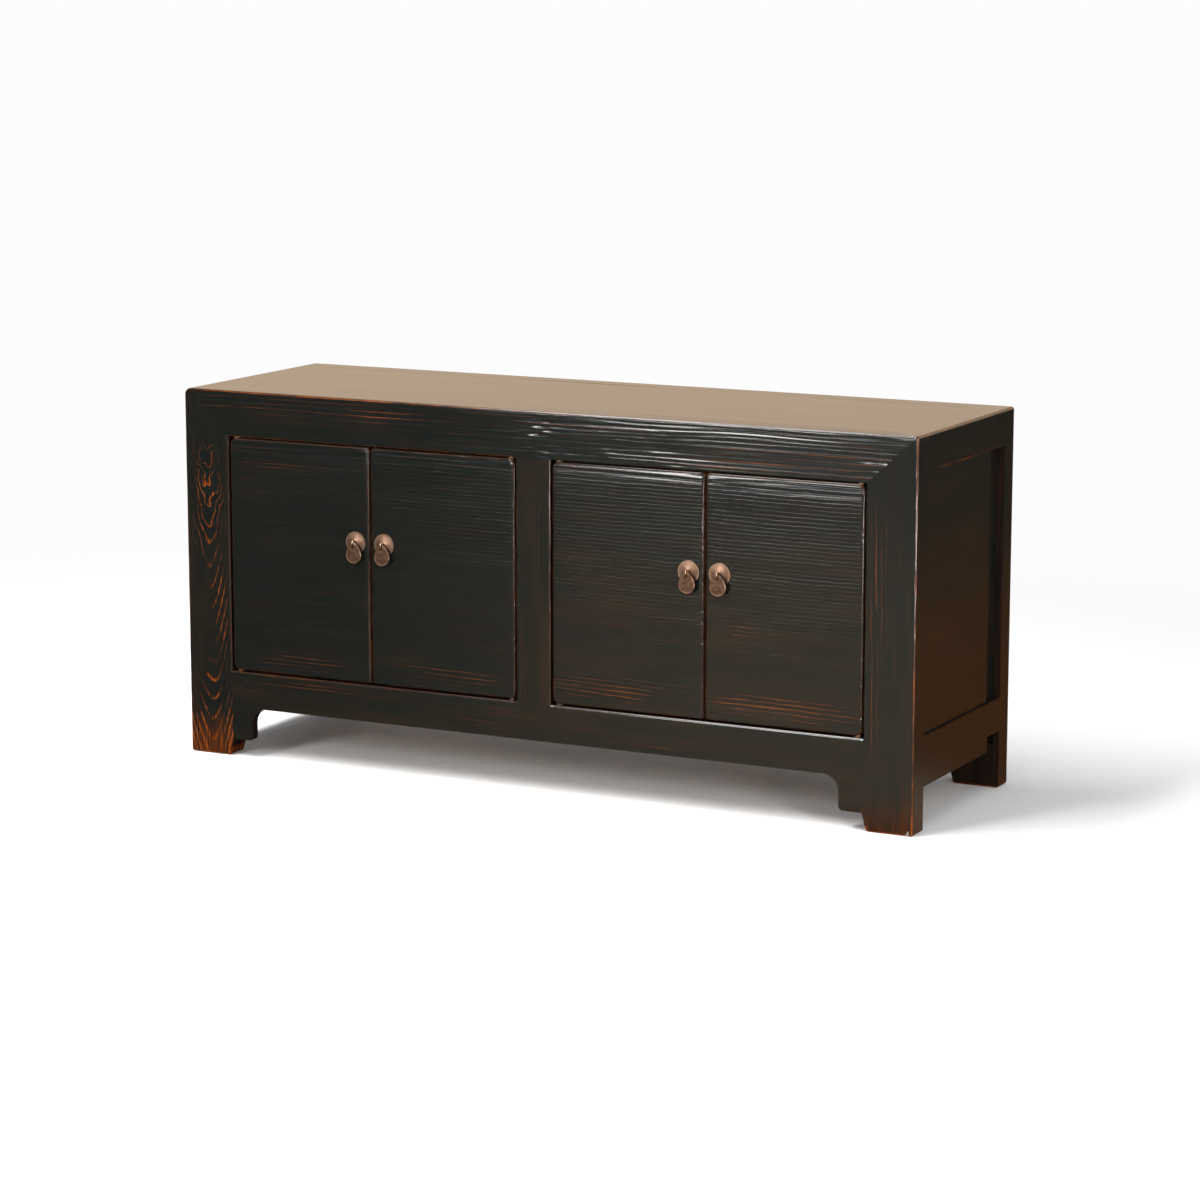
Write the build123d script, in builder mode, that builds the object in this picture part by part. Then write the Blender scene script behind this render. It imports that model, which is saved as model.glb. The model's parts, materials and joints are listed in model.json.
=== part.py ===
from build123d import *
from math import sqrt
import os

# Low four-door kang cabinet in lacquered softwood. Millimetres, +X right, +Y back, +Z up.
# The origin is at the middle of the footprint, pulls included, on the floor.

# Case
case_width = 1400
case_depth = 432
case_height = 658
case_arris = 5            # rounding of the outer edges
worn_arris = 11           # the top left end edge is rubbed rounder
foot_arris = 4.5          # rounding round the foot of each post

# Frame members
frame_thick = 45          # front and back members, front to back
post_face = 90            # width of a post seen from the front
top_rail_face = 81        # height of the front and back top rails
side_top_face = 62        # height of the side top rails
stile_face = 66           # width of the centre stiles
stile_thick = 36
opening_arris = 2         # softened edge round each door opening

# Aprons: a bottom rail with a bracket at each end, cut from one board
apron_top = 155
apron_bottom = 90
bracket_reach = 42        # from the post to the bracket's free edge
bracket_bottom = 31       # height of the bracket's foot over the floor
bracket_thick = 16        # the brackets are thinned behind
bracket_cove = 28         # hollow between rail and bracket
bracket_toe = 8           # rounding at the bracket's foot
foot_taper = 8            # each post narrows by this much at the floor
foot_taper_height = 30

# Side bottom rails
side_rail_top = 160
side_rail_bottom = 75
side_rail_thick = 36
notch_length = 56         # cut out of the rail's lower edge at the back post
notch_height = 27
notch_round = 3

# Mortise and tenon joints
joint_play = 0.2          # clearance round a hidden joint
apron_tenon = (15, 42, 35)        # thickness, width, length
side_tenon = (12, 36, 25)
stile_tenon = (14, 40, 25)
post_tenon_width = 22     # on top of each post, into the front or back rail
post_tenon_thick = 15
post_tenon_edge = 50      # from the case's end to the tenon
post_tenon_top = 20       # wood left above the tenon
corner_tongue_width = 18  # side top rail into front or back rail
corner_tongue_thick = 8
corner_tongue_edge = 22
corner_tongue_top = 10
corner_tongue_cover = 8   # wood left in front of the tongue

# Panels
tongue_reach = 8
groove_play = 0.3
board_play = 0.1
board_shrinkage = 1       # open joint behind the last top board
side_panel_inset = 5      # face of the side panel behind the frame
side_tongue_inset = 12    # outer face of the side panel's tongue
side_tongue_thick = 10
side_channel = 53         # sunk strip between the panel's field and the back post
channel_foot = 78         # the back post's groove runs down to this height
back_panel_thick = 10
back_panel_inset = 8
board_thick = 18          # top and floor boards
board_tongue = 6
top_board_shares = (0.36, 0.33, 0.31)     # widths of the boards, front to back
floor_board_shares = (0.34, 0.33, 0.33)

# Framing under the top and the floor
batten_width = 40
batten_depth = 30
batten_key = 6            # dovetail let into the top boards
batten_flare = 3          # the dovetail widens by this much each side
batten_offset = 320       # from the middle of the case
batten_tenon = (20, 20, 15)       # width, height, length
bearer_width = 60
bearer_depth = 40
ledger_size = 20

# Doors
door_thick = 22
door_inset = 1.5          # door face behind the frame
door_gap = 3              # at the hinge side, the top and the bottom
meeting_gap = 4
door_outer_corner = 11
door_meeting_corner = 4.5
door_arris = 4
door_batten_width = 40
door_batten_proud = 14
door_batten_key = 5
door_batten_edge = 45     # from the door's edge to the batten
door_batten_end = 32      # from the door's top and bottom to the batten
door_batten_chamfer = 2.5
stop_width = 50
stop_drop = 14
stop_chamfer = 3

# Wooden pivots
pivot_radius = 5
pivot_setback = 10        # axis from the hinge edge and from the door's face
pivot_play = 0.08
pivot_seat = 26           # length let into the door
top_pivot_reach = 14      # length standing out of the door
bottom_pivot_reach = 14
socket_spare = 3          # the upper socket is deeper than its pin

# Pulls
pull_to_edge = 26.5       # from the door's free edge to the pull's middle
pull_height = 406.5       # middle of the backplate and of the staple's ring
backplate_radius = 19.5
backplate_rim = 1.2
backplate_rise = 3.7
backplate_border = 2.5
backplate_hollow = 0.3    # the cone's side is this much hollow
backplate_hole = 3
ring_stand = 9            # ring's middle in front of the door
ring_radius = 4.2         # middle line of the wire
wire_radius = 1.1
neck_radius = 2.5
leg_offset = 1.3          # each leg from the middle
leg_bend = 1.7
leg_tail = 12
leg_hole = 2.8
pull_thick = 2.2
pull_length = 37.5
pull_radius = 15.3        # round end of the drop
pull_tip_radius = 6.5
pull_flank = 32           # radius of the drop's sides
pull_hole = 2.5
pull_play = 0.4           # the hole hangs this far off the wire
pull_bevel = 1.2

near = 0.1                # places closer than this count as one

# Places worked out from the sizes above
hardware_reach = ring_stand + ring_radius + wire_radius - door_inset
front_y = (hardware_reach - case_depth) / 2
back_y = front_y + case_depth
middle_y = (front_y + back_y) / 2
inner_front_y = front_y + frame_thick
inner_back_y = back_y - frame_thick
end_x = case_width / 2
post_x = end_x - post_face
stile_x = stile_face / 2
top_rail_bottom = case_height - top_rail_face
side_top_bottom = case_height - side_top_face
side_top_width = post_face * side_top_face / top_rail_face   # all three mitres meet in one line
side_rail_x = end_x - side_rail_thick
case_middle = Plane.XZ.offset(-middle_y)

pair_x = (stile_x + post_x) / 2
door_width = (post_x - stile_x - 2 * door_gap - meeting_gap) / 2
door_free_x = pair_x + meeting_gap / 2
door_hinge_x = door_free_x + door_width
door_bottom = apron_top + door_gap
door_top = top_rail_bottom - door_gap
door_face_y = front_y + door_inset
door_back_y = door_face_y + door_thick
pivot_x = door_hinge_x - pivot_setback
pivot_y = door_face_y + pivot_setback
pull_x = door_free_x + pull_to_edge
ring_y = door_face_y - ring_stand
pivots_x = (pivot_x, 2 * pair_x - pivot_x)      # outer and inner door of the right pair
pair_middle = Plane.YZ.offset(pair_x)

os.makedirs("parts", exist_ok=True)


def finish(piece, label):
    piece.part.label = label
    export_step(piece.part, f"parts/{label}.step")
    print(label, round(piece.part.volume / 1000), "cm3")


def finish_mirrored(piece, plane, label):
    with BuildPart() as copy:
        mirror(piece.part, about=plane)
    finish(copy, label)
    return copy


def block(x, y, z, mode=Mode.ADD):
    """Square-cut wood, or the space for it, between two limits on each axis."""
    with Locations(((x[0] + x[1]) / 2, (y[0] + y[1]) / 2, (z[0] + z[1]) / 2)):
        Box(x[1] - x[0], y[1] - y[0], z[1] - z[0], mode=mode)


def wider(limits, play):
    return (limits[0] - play, limits[1] + play)


def centred(middle, size):
    return (middle - size / 2, middle + size / 2)


# The rounded outer form that every outer member is trimmed to
with BuildPart() as envelope:
    block((-end_x, end_x), (front_y, back_y), (0, case_height))
    fillet(envelope.edges().filter_by(Axis.Y).group_by(Axis.Z)[-1].sort_by(Axis.X)[0], worn_arris)
    outer_faces = envelope.faces().sort_by(Axis.Y)
    outline = outer_faces[0].edges() + outer_faces[-1].edges()
    right_end = envelope.edges().filter_by(Axis.Y).group_by(Axis.X)[-1].sort_by(Axis.Z)[-1]
    fillet([edge for edge in outline if edge.center().Z > near] + [right_end], case_arris)


def trim_to_case():
    add(envelope.part, mode=Mode.INTERSECT)


# Limits shared by both pieces of each hidden joint
frame_middle_y = front_y + frame_thick / 2
post_tenon = (
    (end_x - post_tenon_edge - post_tenon_width, end_x - post_tenon_edge),
    centred(frame_middle_y, post_tenon_thick),
    (top_rail_bottom - post_tenon_width, case_height - post_tenon_top),
)
corner_tongue = (
    (end_x - corner_tongue_edge - corner_tongue_width, end_x - corner_tongue_edge),
    (front_y + corner_tongue_cover, inner_front_y),
    centred(case_height - corner_tongue_top - corner_tongue_thick / 2, corner_tongue_thick),
)
apron_end_tenon = (
    (post_x, post_x + apron_tenon[2]),
    centred(frame_middle_y, apron_tenon[0]),
    centred((apron_bottom + apron_top) / 2, apron_tenon[1]),
)
side_rail_tenon = (
    centred(end_x - side_rail_thick / 2, side_tenon[0]),
    (inner_front_y - side_tenon[2], inner_front_y),
    centred((side_rail_bottom + notch_height + side_rail_top - tongue_reach) / 2, side_tenon[1]),
)
stile_tenons = (
    centred(0, stile_tenon[1]),
    centred(frame_middle_y, stile_tenon[0]),
    (apron_top - stile_tenon[2], top_rail_bottom + stile_tenon[2]),
)
batten_z = (case_height - board_thick - batten_depth, case_height - board_thick)
bearer_z = (apron_top - board_thick - bearer_depth, apron_top - board_thick)
batten_tenon_z = centred(sum(batten_z) / 2, batten_tenon[1])
bearer_tenon_z = centred(sum(bearer_z) / 2, batten_tenon[1])
cross_tenon_y = (inner_front_y - batten_tenon[2], inner_back_y + batten_tenon[2])

# Limits of the panels' tongues
side_tongue = (
    (end_x - side_tongue_inset - side_tongue_thick, end_x - side_tongue_inset),
    (inner_front_y - tongue_reach, inner_back_y + tongue_reach),
    (side_rail_top - tongue_reach, side_top_bottom + tongue_reach),
)
back_tongue = (
    (stile_x - tongue_reach, post_x + tongue_reach),
    (back_y - back_panel_inset - back_panel_thick, back_y - back_panel_inset),
    (apron_top - tongue_reach, top_rail_bottom + tongue_reach),
)
top_tongue_x = (side_top_width - end_x - tongue_reach, end_x - side_top_width + tongue_reach)
board_tongue_y = (inner_front_y - tongue_reach, inner_back_y + tongue_reach)
top_tongue_z = centred(case_height - board_thick / 2, board_tongue)
floor_tongue_z = centred(apron_top - board_thick / 2, board_tongue)


def cut(limits, play, mode=Mode.SUBTRACT):
    block(*[wider(span, play) for span in limits], mode)


def mirrored_limits(limits):
    """The same joint at the left end, or at the left of the middle."""
    return ((-limits[0][1], -limits[0][0]), *limits[1:])


def back_limits(limits):
    """The same joint at the back of the case."""
    return (limits[0], (2 * middle_y - limits[1][1], 2 * middle_y - limits[1][0]), limits[2])


def cut_back_panel_grooves():
    cut(back_tongue, groove_play)
    cut(mirrored_limits(back_tongue), groove_play)


def cut_top_board_groove():
    cut((top_tongue_x, board_tongue_y, top_tongue_z), board_play)


def cut_cross_mortises(middles, z):
    for x in middles:
        cut((centred(x, batten_tenon[0]), cross_tenon_y, z), joint_play)


def soften_door_openings():
    for middle in (-pair_x, pair_x):
        with BuildPart(mode=Mode.PRIVATE) as opening:
            for depth, flare in ((0, opening_arris), (opening_arris, 0)):
                with BuildSketch(Plane.XZ.offset(-front_y - depth)):
                    with Locations((middle, (apron_top + top_rail_bottom) / 2)):
                        Rectangle(post_x - stile_x + 2 * flare, top_rail_bottom - apron_top + 2 * flare)
            loft()
        add(opening.part, mode=Mode.SUBTRACT)


def placed(part, left, back):
    """A piece made for the front right, turned over to another corner."""
    if left:
        part = mirror(part, about=Plane.YZ, mode=Mode.PRIVATE)
    if back:
        part = mirror(part, about=case_middle, mode=Mode.PRIVATE)
    return part


# Corner posts: mitred against the top rails on both faces, tapered at the foot
def cut_post(groove_foot):
    with BuildPart() as post:
        with BuildSketch(Plane.XZ.offset(-front_y)):
            with BuildLine():
                Polyline((end_x, 0), (end_x, case_height), (post_x, top_rail_bottom),
                         (post_x, foot_taper_height), (post_x + foot_taper, 0), close=True)
            make_face()
        extrude(amount=-frame_thick)
        with BuildSketch(Plane.YZ.offset(post_x)):
            with BuildLine():
                Polyline((front_y, 0), (inner_front_y, 0), (inner_front_y, side_top_bottom),
                         (front_y, case_height), close=True)
            make_face()
        extrude(amount=post_face, mode=Mode.INTERSECT)
        block(*post_tenon)
        cut(apron_end_tenon, joint_play)
        cut(side_rail_tenon, joint_play)
        cut((*side_tongue[:2], (groove_foot, side_tongue[2][1])), groove_play)
    return post


for back in (False, True):
    blank = cut_post(groove_foot=channel_foot if back else side_tongue[2][0])
    for left in (False, True):
        with BuildPart() as post:
            add(placed(blank.part, left, back))
            trim_to_case()
            if back:
                cut_back_panel_grooves()
            else:
                soften_door_openings()
            fillet(post.faces().sort_by(Axis.Z)[0].edges(), foot_arris)
        finish(post, f"{'back' if back else 'front'}_{'left' if left else 'right'}_post")


# Front and back top rails: mitred at each end in front and on top
with BuildPart() as top_rail:
    with BuildSketch(Plane.XZ.offset(-front_y)):
        with BuildLine():
            Polyline((-end_x, case_height), (end_x, case_height), (post_x, top_rail_bottom),
                     (-post_x, top_rail_bottom), close=True)
        make_face()
    extrude(amount=-frame_thick)
    with BuildSketch(Plane.XY.offset(top_rail_bottom)):
        with BuildLine():
            Polyline((-end_x, front_y), (end_x, front_y), (end_x - side_top_width, inner_front_y),
                     (side_top_width - end_x, inner_front_y), close=True)
        make_face()
    extrude(amount=top_rail_face, mode=Mode.INTERSECT)
    for joint in (post_tenon, corner_tongue):
        cut(joint, joint_play)
        cut(mirrored_limits(joint), joint_play)
    cut(stile_tenons, joint_play)
    cut_cross_mortises((-batten_offset, batten_offset), batten_tenon_z)
    cut_top_board_groove()

with BuildPart() as front_top_rail:
    add(top_rail.part)
    trim_to_case()
    soften_door_openings()
    with Locations([(side * x, pivot_y, top_rail_bottom) for side in (-1, 1) for x in pivots_x]):
        Cylinder(pivot_radius + pivot_play, top_pivot_reach - door_gap + socket_spare,
                 align=(Align.CENTER, Align.CENTER, Align.MIN), mode=Mode.SUBTRACT)
finish(front_top_rail, "front_top_rail")

with BuildPart() as back_top_rail:
    add(placed(top_rail.part, left=False, back=True))
    trim_to_case()
    cut_back_panel_grooves()
finish(back_top_rail, "back_top_rail")


# Side top rails: mitred on the outside and on top, with a tongue at each end
with BuildPart() as side_top_rail:
    with BuildSketch(Plane.YZ.offset(end_x - side_top_width)):
        with BuildLine():
            Polyline((front_y, case_height), (back_y, case_height), (inner_back_y, side_top_bottom),
                     (inner_front_y, side_top_bottom), close=True)
        make_face()
    extrude(amount=side_top_width)
    with BuildSketch(Plane.XY.offset(side_top_bottom)):
        with BuildLine():
            Polyline((end_x, front_y), (end_x, back_y), (end_x - side_top_width, inner_back_y),
                     (end_x - side_top_width, inner_front_y), close=True)
        make_face()
    extrude(amount=side_top_face, mode=Mode.INTERSECT)
    block(*corner_tongue)
    mirror(about=case_middle)
    cut(side_tongue, groove_play)
    cut_top_board_groove()

for left in (False, True):
    with BuildPart() as rail:
        add(placed(side_top_rail.part, left, back=False))
        trim_to_case()
    finish(rail, f"{'left' if left else 'right'}_top_rail")


# Centre stiles, between the two pairs of doors and between the back panels
with BuildPart() as stile:
    block((-stile_x, stile_x), (front_y, front_y + stile_thick), (apron_top, top_rail_bottom))
    block(*stile_tenons)

with BuildPart() as front_centre_stile:
    add(stile.part)
    soften_door_openings()
finish(front_centre_stile, "front_centre_stile")

with BuildPart() as back_centre_stile:
    add(placed(stile.part, left=False, back=True))
    cut_back_panel_grooves()
finish(back_centre_stile, "back_centre_stile")


# Aprons: the rail's full thickness above, thin brackets below
with BuildPart() as apron:
    bracket_x = post_x - bracket_reach
    with BuildSketch(Plane.XZ.offset(-front_y)) as apron_face:
        with BuildLine():
            Polyline((0, apron_top), (post_x, apron_top), (post_x, bracket_bottom),
                     (bracket_x, bracket_bottom), (bracket_x, apron_bottom), (0, apron_bottom))
            mirror(about=Plane.YZ)
        make_face()
        for row, radius in ((0, bracket_toe), (-1, bracket_cove)):
            free_corners = apron_face.vertices().filter_by(lambda corner: abs(abs(corner.X) - bracket_x) < near)
            fillet(free_corners.group_by(Axis.Y)[row], radius)
    extrude(amount=-bracket_thick)
    block((-post_x, post_x), (front_y, inner_front_y), (apron_bottom, apron_top))
    block(*apron_end_tenon)
    block(*mirrored_limits(apron_end_tenon))
    cut(stile_tenons, joint_play)
    cut_cross_mortises((0,), bearer_tenon_z)
    cut(((-post_x, post_x), board_tongue_y, floor_tongue_z), board_play)

with BuildPart() as front_apron:
    add(apron.part)
    soften_door_openings()
    with Locations([(side * x, pivot_y, apron_top) for side in (-1, 1) for x in pivots_x]):
        Cylinder(pivot_radius + pivot_play, bottom_pivot_reach - door_gap,
                 align=(Align.CENTER, Align.CENTER, Align.MAX), mode=Mode.SUBTRACT)
finish(front_apron, "front_apron")

with BuildPart() as back_apron:
    add(placed(apron.part, left=False, back=True))
    cut_back_panel_grooves()
finish(back_apron, "back_apron")


# Side bottom rails, with a notch below at the back post
with BuildPart() as side_rail:
    with BuildSketch(Plane.YZ.offset(side_rail_x)) as rail_face:
        with BuildLine():
            Polyline((inner_front_y, side_rail_top), (inner_back_y, side_rail_top),
                     (inner_back_y, side_rail_bottom + notch_height),
                     (inner_back_y - notch_length, side_rail_bottom + notch_height),
                     (inner_back_y - notch_length, side_rail_bottom),
                     (inner_front_y, side_rail_bottom), close=True)
        make_face()
    extrude(amount=side_rail_thick)
    fillet(side_rail.edges().filter_by(Axis.X).group_by(Axis.Z)[1].sort_by(Axis.Y)[0], notch_round)
    block(*side_rail_tenon)
    block(*back_limits(side_rail_tenon))
    cut(side_tongue, groove_play)
finish(side_rail, "right_bottom_rail")
finish_mirrored(side_rail, Plane.YZ, "left_bottom_rail")


# Side panels: a proud field, and a tongue that shows as a sunk channel along the back post
with BuildPart() as side_panel:
    block((side_tongue[0][0], end_x - side_panel_inset),
          (inner_front_y + groove_play, inner_back_y - side_channel),
          wider((side_rail_top, side_top_bottom), -groove_play))
    block(*side_tongue)
finish(side_panel, "right_side_panel")
finish_mirrored(side_panel, Plane.YZ, "left_side_panel")

# Back panels
with BuildPart() as back_panel:
    block(*back_tongue)
finish(back_panel, "right_back_panel")
finish_mirrored(back_panel, Plane.YZ, "left_back_panel")


def sliding_dovetail(place, width, height, length):
    """The key of a batten, standing up from place and running against its normal."""
    with BuildPart(mode=Mode.PRIVATE) as key:
        with BuildSketch(place):
            with BuildLine():
                root, tip = width / 2 - 2 * batten_flare, width / 2 - batten_flare
                Polyline((-root, 0), (-tip, height), (tip, height), (root, 0), close=True)
            make_face()
        extrude(amount=-length)
    return key.part


# Battens under the top boards, each keyed into the boards
top_batten_keys = []
for x, name in ((-batten_offset, "left"), (batten_offset, "right")):
    place = Plane(origin=(x, inner_front_y, batten_z[1]), x_dir=(1, 0, 0), z_dir=(0, -1, 0))
    key = sliding_dovetail(place, batten_width, batten_key, inner_back_y - inner_front_y)
    top_batten_keys.append(key)
    with BuildPart() as batten:
        add(key)
        block(centred(x, batten_width), (inner_front_y, inner_back_y), batten_z)
        block(centred(x, batten_tenon[0]), cross_tenon_y, batten_tenon_z)
    finish(batten, f"{name}_top_batten")


# Top and floor boards, laid lengthwise from the front to the back
def board_edges(shares, last_edge):
    scale = (inner_back_y - inner_front_y) / sum(shares)
    edges = [inner_front_y + scale * sum(shares[:count]) for count in range(len(shares))]
    return zip(("front", "middle", "back"), edges, edges[1:] + [last_edge])


def tongue_span(name, front, back):
    """The outer boards reach into the grooves of the front and back frames."""
    if name == "front":
        return (board_tongue_y[0], back)
    if name == "back":
        return (front, board_tongue_y[1])
    return (front, back)


for name, front, back in board_edges(top_board_shares, inner_back_y - board_shrinkage):
    tongue_y = tongue_span(name, front, back)
    with BuildPart() as board:
        block(wider(top_tongue_x, -tongue_reach), (front, back), (case_height - board_thick, case_height))
        block(top_tongue_x, tongue_y, top_tongue_z)
        add(top_batten_keys, mode=Mode.SUBTRACT)
    finish(board, f"top_{name}_board")

for name, front, back in board_edges(floor_board_shares, inner_back_y):
    tongue_y = tongue_span(name, front, back)
    with BuildPart() as board:
        block((-side_rail_x, side_rail_x), (front, back), (apron_top - board_thick, apron_top))
        block(wider((-post_x, post_x), -groove_play), tongue_y, floor_tongue_z)
    finish(board, f"floor_{name}_board")

with BuildPart() as floor_bearer:
    block(centred(0, bearer_width), (inner_front_y, inner_back_y), bearer_z)
    block(centred(0, batten_tenon[0]), cross_tenon_y, bearer_tenon_z)
finish(floor_bearer, "floor_bearer")

with BuildPart() as floor_ledger:
    block((side_rail_x - ledger_size, side_rail_x), (inner_front_y, inner_back_y),
          (bearer_z[1] - ledger_size, bearer_z[1]))
finish(floor_ledger, "right_floor_ledger")
finish_mirrored(floor_ledger, Plane.YZ, "left_floor_ledger")


# Door stops, behind the meeting edges of each pair
with BuildPart() as door_stop:
    block(centred(pair_x, stop_width), (door_back_y + groove_play, inner_front_y),
          (top_rail_bottom - stop_drop, top_rail_bottom))
    chamfer(door_stop.edges().group_by(Axis.Z)[0], stop_chamfer)
finish(door_stop, "right_door_stop")
finish_mirrored(door_stop, Plane.YZ, "left_door_stop")


# Doors. Everything on the outer door of the right pair is made in place, then turned over to the others
middle_door_x = door_free_x + door_width / 2
door_batten_x = (door_free_x + door_batten_edge + door_batten_width / 2,
                 door_hinge_x - door_batten_edge - door_batten_width / 2)
door_batten_z = (door_bottom + door_batten_end, door_top - door_batten_end)
door_keys = [
    sliding_dovetail(Plane(origin=(x, door_back_y, door_batten_z[0]), x_dir=(1, 0, 0), z_dir=(0, 0, -1)),
                     door_batten_width, door_batten_key, door_batten_z[1] - door_batten_z[0])
    for x in door_batten_x
]


def finish_doors(piece, name):
    inner_right = mirror(piece.part, about=pair_middle, mode=Mode.PRIVATE)
    finish(piece, f"right_outer_{name}")
    for part, left, place in ((inner_right, False, "right_inner"), (inner_right, True, "left_inner"),
                              (piece.part, True, "left_outer")):
        with BuildPart() as copy:
            add(placed(part, left, back=False))
        finish(copy, f"{place}_{name}")


with BuildPart() as door_board:
    with BuildSketch(Plane.XZ.offset(-door_face_y)) as door_face:
        with Locations((middle_door_x, (door_bottom + door_top) / 2)):
            Rectangle(door_width, door_top - door_bottom)
        fillet(door_face.vertices().group_by(Axis.X)[0], door_meeting_corner)
        fillet(door_face.vertices().group_by(Axis.X)[-1], door_outer_corner)
    extrude(amount=-door_thick)
    fillet(door_board.faces().sort_by(Axis.Y)[0].edges(), door_arris)
    add(door_keys, mode=Mode.SUBTRACT)
    for z in (door_bottom + pivot_seat / 2, door_top - pivot_seat / 2):
        with Locations((pivot_x, pivot_y, z)):
            Cylinder(pivot_radius, pivot_seat, mode=Mode.SUBTRACT)
    with BuildSketch(Plane.XZ.offset(-door_face_y)):
        with Locations((pull_x, pull_height)):
            Circle(leg_hole)
    extrude(amount=-door_thick, mode=Mode.SUBTRACT)
finish_doors(door_board, "door_board")

with BuildPart() as door_battens:
    add(door_keys)
    for x in door_batten_x:
        block(centred(x, door_batten_width), (door_back_y, door_back_y + door_batten_proud), door_batten_z)
    chamfer(door_battens.faces().group_by(Axis.Y)[-1].edges(), door_batten_chamfer)
finish_doors(door_battens, "door_battens")

with BuildPart() as pivot_pins:
    for z in ((door_top - pivot_seat, door_top + top_pivot_reach),
              (door_bottom - bottom_pivot_reach, door_bottom + pivot_seat)):
        with Locations((pivot_x, pivot_y, sum(z) / 2)):
            Cylinder(pivot_radius, z[1] - z[0])
finish_doors(pivot_pins, "pivot_pins")


# Backplate: a shallow cone with a flat border, turned about the staple's middle
with BuildPart() as backplate:
    turning_plane = Plane(origin=(pull_x, door_face_y, pull_height), x_dir=(1, 0, 0), z_dir=(0, 0, -1))
    cone_foot = backplate_radius - backplate_border
    with BuildSketch(turning_plane):
        with BuildLine():
            Polyline((backplate_hole, backplate_rise), (backplate_hole, 0), (backplate_radius, 0),
                     (backplate_radius, backplate_rim), (cone_foot, backplate_rim))
            ThreePointArc((cone_foot, backplate_rim),
                          ((cone_foot + backplate_hole) / 2,
                           (backplate_rim + backplate_rise) / 2 - backplate_hollow),
                          (backplate_hole, backplate_rise))
        make_face()
    revolve(axis=Axis((pull_x, door_face_y, pull_height), (0, 1, 0)))
finish_doors(backplate, "backplate")


# Staple: wire bent to a ring, with two legs through the door turned flat behind it
with BuildPart() as staple:
    neck_rise = leg_offset + neck_radius
    neck_run = sqrt((ring_radius + neck_radius) ** 2 - neck_rise ** 2)
    ring_share = ring_radius / (ring_radius + neck_radius)
    tail_y = door_back_y + leg_bend
    neck_y = ring_y + neck_run * ring_share
    with BuildLine(Plane.YZ) as wire:
        for side in (1, -1):
            leg_z = pull_height + side * leg_offset
            bend_z = leg_z + side * leg_bend
            Line((tail_y, bend_z + side * leg_tail), (tail_y, bend_z))
            TangentArc((tail_y, bend_z), (door_back_y, leg_z), tangent=(0, -side))
            Line((door_back_y, leg_z), (ring_y + neck_run, leg_z))
            TangentArc((ring_y + neck_run, leg_z),
                       (neck_y, pull_height + side * neck_rise * ring_share), tangent=(-1, 0))
        ThreePointArc((neck_y, pull_height + neck_rise * ring_share),
                      (ring_y - ring_radius, pull_height),
                      (neck_y, pull_height - neck_rise * ring_share))
    bent_wire = wire.wires()[0]
    with BuildSketch(Plane(origin=bent_wire @ 0, z_dir=bent_wire % 0)):
        Circle(wire_radius)
    sweep(path=bent_wire)

with BuildPart() as set_staple:
    with Locations((pull_x, 0)):
        add(staple.part)
finish_doors(set_staple, "staple")


# Pull: a flat drop that hangs on the ring by the hole at its tip
with BuildPart() as pull:
    hole_z = pull_height - ring_radius - pull_hole + wire_radius + pull_play
    round_z = hole_z + pull_tip_radius - pull_length + pull_radius
    tip_gap = pull_flank - pull_tip_radius
    round_gap = pull_flank - pull_radius
    apart = hole_z - round_z
    flank_z = round_z + (round_gap ** 2 - tip_gap ** 2 + apart ** 2) / (2 * apart)
    flank_x = sqrt(round_gap ** 2 - (round_z - flank_z) ** 2)
    tip_share = pull_tip_radius / tip_gap
    round_share = pull_radius / round_gap
    tip_touch = (flank_x * tip_share, hole_z + (hole_z - flank_z) * tip_share)
    round_touch = (flank_x * round_share, round_z + (round_z - flank_z) * round_share)
    with BuildSketch(Plane.XZ.offset(pull_thick / 2 - ring_y)) as drop:
        with BuildLine():
            ThreePointArc((-round_touch[0], round_touch[1]), (0, round_z - pull_radius), round_touch)
            RadiusArc(round_touch, tip_touch, -pull_flank)
            ThreePointArc(tip_touch, (0, hole_z + pull_tip_radius), (-tip_touch[0], tip_touch[1]))
            RadiusArc((-tip_touch[0], tip_touch[1]), (-round_touch[0], round_touch[1]), -pull_flank)
        make_face()
        with Locations((0, hole_z)):
            Circle(pull_hole, mode=Mode.SUBTRACT)
    extrude(amount=-pull_thick)
    chamfer(pull.faces().sort_by(Axis.Y)[0].outer_wire().edges(), pull_bevel)

with BuildPart() as hung_pull:
    with Locations((pull_x, 0)):
        add(pull.part)
finish_doors(hung_pull, "pull")

print("front of the case at y", front_y, "pivots at x", pivots_x, "y", pivot_y)
print("pulls turn about x", pull_x, 2 * pair_x - pull_x, "y", ring_y, "z", pull_height)
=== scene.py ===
import itertools
import json
import math

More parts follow.
